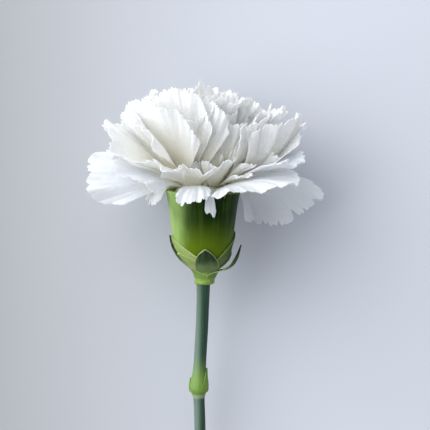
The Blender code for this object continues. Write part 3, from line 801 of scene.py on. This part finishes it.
def broad_bract(turn, tip, half_width, fullness, off):
    """A bract that wraps round the calyx, widest at its foot, with margins that are a little waved.

    turn is its azimuth, tip the depth of its tip, fullness how blunt it is and off its distance from
    the calyx.
    """

    def width(t, far):
        return half_width * np.clip(1 - t**fullness, 0, 1) ** 1.15 + 0.04

    def distance(u, t):
        return off + 0.12 * np.sin(5 * u + turn) * t + 0.25 * np.clip(t - 0.8, 0, 1)

    return scale_surface(math.radians(turn), CALYX_OUTSIDE, BROAD_BRACT_FOOT, tip, width, distance)


OUTER_FORK = 0.03  # the share of an outer bract's length at which it leaves its neighbour


def outer_bract(turn, tip, flare, off):
    """A narrow bract whose foot widens into half of the sheath. It stands away by its flare."""

    def width(t, far):
        narrow = 1.9 * np.clip(1 - t**3, 0, 1) ** 0.8 + 0.05
        return narrow + far * math.pi / 2 * np.exp(-np.clip(t - OUTER_FORK, 0, None) / 0.08)

    def distance(u, t):
        stand = flare * (1 - np.exp(-np.clip(t - 0.17, 0, 1) / 0.2))
        channel = 0.45 * min(flare, 1) * u**2 * np.clip((t - 0.3) * 3, 0, 1) * (1 - t**3)
        return off + stand - 1.9 * channel

    return scale_surface(math.radians(turn), SHEATH_OUTSIDE, OUTER_BRACT_FOOT, tip, width, distance)


def bract_finish(name, foot, tip, edge, streaks=0.3, edge_fades=0.0):
    """Leafy green from foot to tip, with fine veins and a thin pale margin that may fade upwards."""
    finish = Finish(name, 0.55, Specular_IOR_Level=0.2)
    across, up, _ = finish.parts(finish.uv)
    side = (across - 0.5).size()
    veins = finish.noise(finish.joined(across * 34, up * 2, 0), 1.0, detail=3)
    blotches = finish.noise(finish.joined(across * 4, up * 4, 3), 1.0)
    green = finish.blend((up + blotches * 0.5).over(0.45, 1.1), foot, tip)
    green = finish.blend(veins.over(0.45, 0.75) * streaks, green, edge)
    margin = 1 - (1 - side.over(0.455, 0.49)) * (1 - up.over(0.965, 0.99))
    finish.colour(finish.blend(margin * (1 - up.over(0.3, 0.6) * edge_fades), green, edge))
    finish.bump(veins, 0.0002, 0.5)
    return finish


def collar_finish():
    """Yellow-green with short streaks and small pale flecks."""
    finish = Finish("collar_green", 0.45)
    x, y, z = finish.flower_place()
    streaks = finish.noise(finish.joined(finish.around(x, y) * 9, z * 0.5, 0), 1.0, detail=3)
    flecks = finish.noise(finish.joined(x, y, z), 1.6, detail=2)
    green = finish.blend(streaks.over(0.35, 0.7), (0.22, 0.34, 0.045), (0.10, 0.21, 0.02))
    green = finish.blend(flecks.over(0.58, 0.68) * 0.6, green, (0.42, 0.50, 0.16))
    finish.colour(green)
    finish.bump(streaks + flecks, 0.0003, 0.5)
    return finish


def make_bracts(name, surfaces, finish):
    blades = [blade(f"{name}_{i}", surface, *BRACT_GRID, BRACT_WALL) for i, surface in enumerate(surfaces)]
    piece = joined(name, blades)
    sway_base(piece)
    dress(piece, finish, "epicalyx", ["epicalyx"])


def make_epicalyx():
    # Painted light and shade: the inner bracts on the lit left side get a pale copy of the bract colours, and
    # their twins on the far side a darker copy.
    pale = bract_finish("bract_pale", (0.36, 0.36, 0.16), (0.22, 0.32, 0.08), (0.42, 0.50, 0.22))
    green = bract_finish("bract_green", (0.12, 0.17, 0.05), (0.04, 0.09, 0.012), (0.15, 0.23, 0.06))
    dark = bract_finish("bract_dark", (0.14, 0.22, 0.07), (0.004, 0.024, 0.008), (0.30, 0.38, 0.16), 0.1)
    teal = bract_finish("bract_teal", (0.13, 0.23, 0.04), (0.003, 0.014, 0.006), (0.36, 0.44, 0.19), 0.1, 1.0)
    lit_side = [broad_bract(188, 14.2, 10.5, 4, 0.3), broad_bract(-152, 19.4, 6.0, 9, 0.55)]
    far_side = [broad_bract(12, 13.4, 10.0, 4, 0.3), broad_bract(38, 18.6, 6.0, 9, 0.55)]
    keeled = [broad_bract(-86, 17.6, 4.0, 5, 0.8), broad_bract(94, 17.0, 4.2, 5, 0.8)]
    make_bracts("inner_bracts_left", lit_side, pale)
    make_bracts("inner_bracts_right", far_side, green)
    make_bracts("middle_bracts", keeled, dark)
    make_bracts("outer_bracts", [outer_bract(190, 14.0, 0.15, 0.8), outer_bract(-8, 16.6, 2.2, 0.8)], teal)
    collar = lathed("collar", smooth_profile(COLLAR_OUTSIDE, 40), COLLAR_SIDES)
    sway_base(collar)
    dress(collar, collar_finish(), "epicalyx", ["epicalyx"])


# ---------------------------------------------------------------- stem


def stem_centre(z):
    """How far the stem's axis is to the side at a height, with the bends of its sway rounded."""
    depths, places = np.array(STEM_SWAY, float).T
    smooth = [np.interp(-z + shift, depths, places) for shift in (-3, -1.5, 0, 1.5, 3)]
    return sum(smooth) / len(smooth)


def stem_radius(depth):
    """Thicker under the collar, swollen at the joints and above them, thinner below the first."""
    radius = STEM_RADIUS + COLLAR_SWELL * math.exp(-max(depth - SHOULDER_DEPTH, 0) / COLLAR_SWELL_REACH)
    thins_at = JOINT_DEPTHS[0] + THINNING_BELOW_JOINT
    radius -= THINNING / (1 + math.exp(-(depth - thins_at) / THINNING_REACH))
    for joint in JOINT_DEPTHS:
        reach = JOINT_REACH_ABOVE if depth <= joint else JOINT_REACH_BELOW
        radius += (JOINT_RADIUS - STEM_RADIUS) * math.exp(-(((depth - joint) / reach) ** 2))
    return radius


def stem_finish():
    """Blue-green and waxy, with a painted highlight down its left, lit side, yellower over each joint with a
    pale ring, and pale flesh in the cut.
    """
    finish = Finish("stem_green", 0.5, Specular_IOR_Level=0.3)
    x, y, z = finish.flower_place()
    streaks = finish.noise(finish.joined(finish.around(x, y) * 5, z * 0.08, 0), 1.0, detail=3)
    green = finish.blend(streaks.over(0.4, 0.7), (0.012, 0.045, 0.024), (0.028, 0.085, 0.045))
    # Painted highlight: the stem's left side, which faces the key light, is painted pale.
    green = finish.blend((x + streaks).over(0.6, -1.8) * 0.7, green, (0.16, 0.23, 0.19))
    for joint in JOINT_DEPTHS:
        above = z.over(-joint - 3.2, -joint - 1.8) * z.over(-joint + 12, -joint + 1)
        green = finish.blend(above * (0.45 + streaks * 0.7), green, (0.17, 0.30, 0.035))
        ring = (z + joint + 2.6).size().over(1.0, 0.2)
        green = finish.blend(ring * 0.5, green, (0.34, 0.42, 0.26))
    off_axis = (x * x + y * y) ** 0.5
    fibres = finish.noise(finish.joined(x, y, z), 6.0, detail=2)
    flesh = finish.blend((off_axis + fibres * 0.4).over(0.5, 1.2), (0.80, 0.82, 0.66), (0.42, 0.56, 0.24))
    cut_from = CUT_SPAN - FLOWER_LENGTH
    in_the_cut = off_axis.over(1.5, 1.38) * z.over(cut_from, cut_from - 0.5)
    finish.colour(finish.blend(in_the_cut, green, flesh))
    finish.bump(streaks + in_the_cut * fibres, 0.0002, 0.4)
    return finish


def leaf_scale(joint, turn, length):
    """A short pointed scale that clasps the stem at a joint, its tip standing a little away."""
    outside = [(stem_radius(depth), depth) for depth in np.linspace(joint - 8, joint + 1, 30)]

    def width(t, far):
        clasp = far * math.pi / 2 * np.exp(-t / 0.22)
        return 1.5 * np.clip(1 - t**1.6, 0, 1) ** 0.9 + clasp * (1 - t) + 0.05

    def distance(u, t):
        return 0.18 + 0.5 * np.clip(t - 0.6, 0, 1) + 0.1 * np.sin(6 * u + turn) * t

    foot = joint + 1.6
    upright = scale_surface(math.radians(turn), outside, foot, foot - length, width, distance)

    def surface(u, t):
        points = upright(u, t)
        points[:, 0] += stem_centre(points[:, 2])
        return points

    return surface


def cut_stem_end(stalk):
    """A knife's slanting cut across the stem, which faces up and away from the bloom."""
    select_only(stalk)
    bpy.ops.object.mode_set(mode="EDIT")
    bpy.ops.mesh.select_all(action="SELECT")
    bpy.ops.mesh.bisect(
        plane_co=(0, STEM_RADIUS * MM, -FLOWER_LENGTH * MM),
        plane_no=(0, -math.sin(CUT_SLANT), -math.cos(CUT_SLANT)),
        use_fill=True,
        clear_outer=True,
    )
    bpy.ops.object.mode_set(mode="OBJECT")


def lay_on_table(stalk):
    """Lifts what would reach under the table, by its cut end."""
    points = points_of(stalk) / MM
    sunk = np.clip(SETTLED + 2 * CLEARANCE - table_height(points), 0, None)
    move_points(stalk, (points + sunk[:, None] * UPWARDS) * MM)


def leaf_scales():
    """A pair at each joint, a long one and a short one, each pair turned across the other."""
    blades = []
    for i, joint in enumerate(JOINT_DEPTHS):
        for side, length in enumerate(LEAF_SCALE_LENGTHS):
            surface = leaf_scale(joint, 180 * side + 90 * i - 22, length)
            blades.append(blade(f"leaf_scale_{i}_{side}", surface, *LEAF_SCALE_GRID, LEAF_SCALE_WALL))
    return joined("leaf_scales", blades)


def make_stem():
    top = CALYX_LENGTH + COLLAR_LENGTH - 0.4
    depths = list(np.linspace(top, FLOWER_LENGTH - 0.02, 120))
    for joint in JOINT_DEPTHS:
        depths += list(np.linspace(joint - 7, joint + 6, 30))
    profile = [(stem_radius(depth), -depth) for depth in sorted(depths)]
    stalk = lathed("stalk", profile, STEM_SIDES, lambda z: float(stem_centre(z)))
    cut_stem_end(stalk)
    lay_on_table(stalk)
    scales = leaf_scales()
    finish = stem_finish()
    dress(stalk, finish, "stem", ["stem"], smooth=50)
    dress(scales, finish, "stem", ["stem"])


# ---------------------------------------------------------------- table, light and camera

# The camera's distance is in metres. It aims at a point of the flower's frame, and its picture is as
# wide there as PICTURE_WIDTH.
CAMERA_DISTANCE = 0.9
CAMERA_RAISED = math.radians(6)
CAMERA_AIM = (3.8, 0.0, -7.95)
PICTURE_WIDTH = 136.74
SENSOR_WIDTH = 36


def make_table():
    """A plain pale table, painted greyer towards the left and paler towards the right as painted shade and
    light, which also thins the flower's shadow on its right.
    """
    bpy.ops.object.select_all(action="DESELECT")
    bpy.ops.mesh.primitive_plane_add(size=4, location=(0, 0, 0))
    table = bpy.context.object
    table.name = "table"
    finish = Finish("table_pale", 0.75)
    x, _, _ = finish.parts(finish.place)
    # Painted shade and light: the table's colour darkens to the left of the flower and brightens to its
    # right.
    finish.colour(finish.blend(x.over(-0.15, 0.05), (0.22, 0.22, 0.215), (0.55, 0.58, 0.645)))
    table.data.materials.append(finish.material)


def make_light(name, place, power, size):
    """An area light, placed in the flower's frame in metres, that faces the bloom."""
    bpy.ops.object.light_add(type="AREA")
    light = bpy.context.object
    light.name = name
    light.data.energy = power
    light.data.size = size
    light.location = LIE_DOWN @ Vector(place)
    bloom = LIE_DOWN @ Vector((0, 0, 0.01))
    light.rotation_euler = (bloom - light.location).to_track_quat("-Z", "Y").to_euler()


def make_camera():
    """Looks straight at the flower's upper side, from a little towards the bloom."""
    towards = LIE_DOWN.to_3x3() @ Vector((0, -math.cos(CAMERA_RAISED), math.sin(CAMERA_RAISED)))
    aim = LIE_DOWN @ (Vector(CAMERA_AIM) * MM)
    bpy.ops.object.camera_add(location=aim + CAMERA_DISTANCE * towards)
    camera = bpy.context.object
    camera.name = "camera"
    camera.rotation_euler = (SLOPE - CAMERA_RAISED, 0, 0)
    camera.data.lens = SENSOR_WIDTH * CAMERA_DISTANCE / (PICTURE_WIDTH * MM)
    bpy.context.scene.camera = camera


def make_world():
    """Even, slightly cool light from all round."""
    world = bpy.data.worlds.new("studio")
    world.use_nodes = True
    background = world.node_tree.nodes["Background"]
    background.inputs["Color"].default_value = (0.82, 0.85, 0.90, 1)
    background.inputs["Strength"].default_value = 0.6
    bpy.context.scene.world = world
    bpy.context.scene.view_settings.view_transform = "Standard"


make_camera()
make_world()
make_table()
make_light("key", (-0.88, -0.55, 0.40), 20, 1.7)
make_light("top_fill", (-0.50, -0.45, 0.85), 12, 1.8)
make_petals()
make_calyx()
make_epicalyx()
make_stem()
